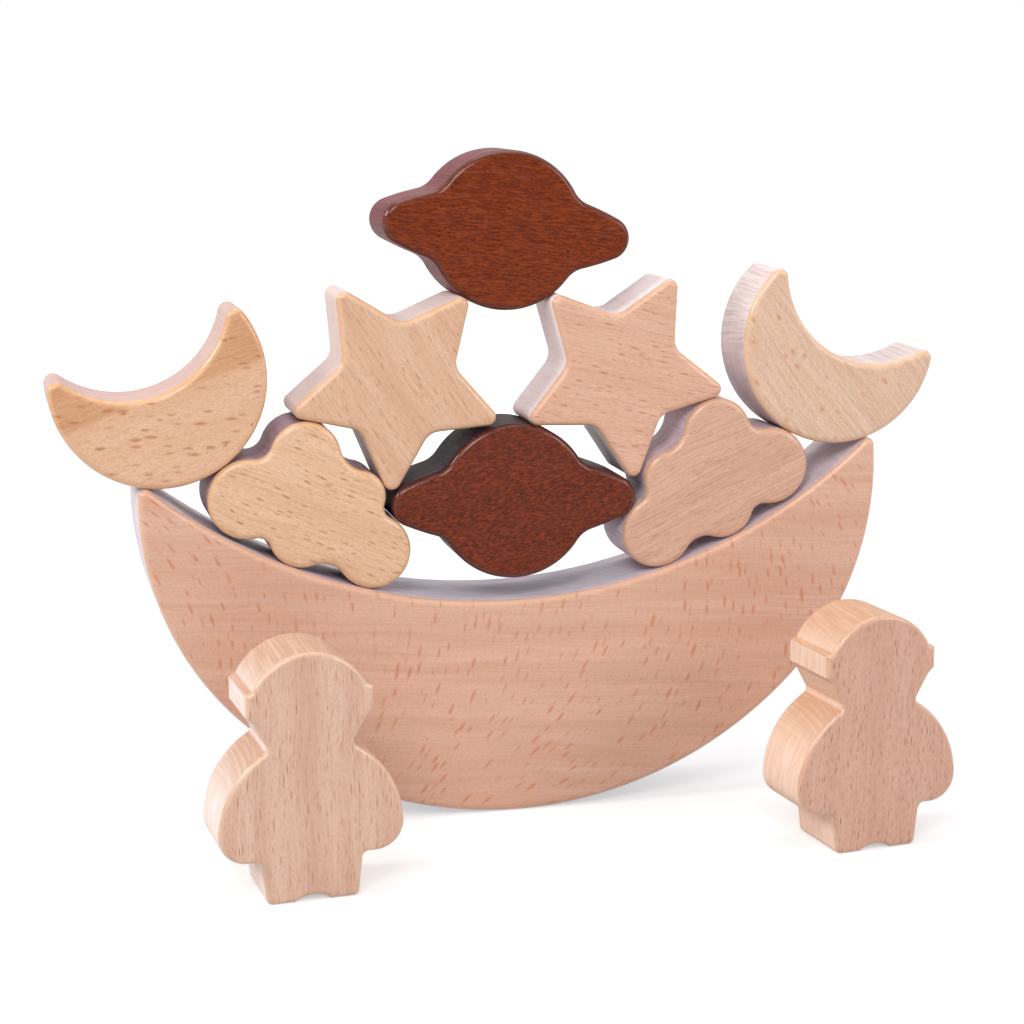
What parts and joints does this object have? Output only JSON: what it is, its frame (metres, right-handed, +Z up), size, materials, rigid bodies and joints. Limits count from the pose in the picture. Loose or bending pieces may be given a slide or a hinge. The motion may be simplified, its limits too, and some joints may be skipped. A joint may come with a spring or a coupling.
{
  "type": "wooden stacking balance game",
  "caption": "Wooden stacking balance game: a crescent rocker loaded with flat cloud, planet, star and moon blocks, with flat standing figures in front.",
  "frame": {"origin": "on the ground, in the middle of the rectangle that the whole game takes up", "axes": "+X along the rocker to the right, +Y away from the front figures, +Z up"},
  "size_m": [0.2272, 0.0786, 0.1686],
  "materials": {
    "natural_beech": "sanded, oiled, satin",
    "stained_beech": "dark red-brown stain under glossy varnish"
  },
  "bodies": {
    "root": {"rocker": "natural_beech", "left_cloud": "natural_beech", "right_cloud": "natural_beech", "lower_planet": "stained_beech", "left_star": "natural_beech", "right_star": "natural_beech", "top_planet": "stained_beech", "left_moon": "natural_beech", "right_moon": "natural_beech", "left_figure": "natural_beech", "right_figure": "natural_beech"}
  },
  "joints": []
}
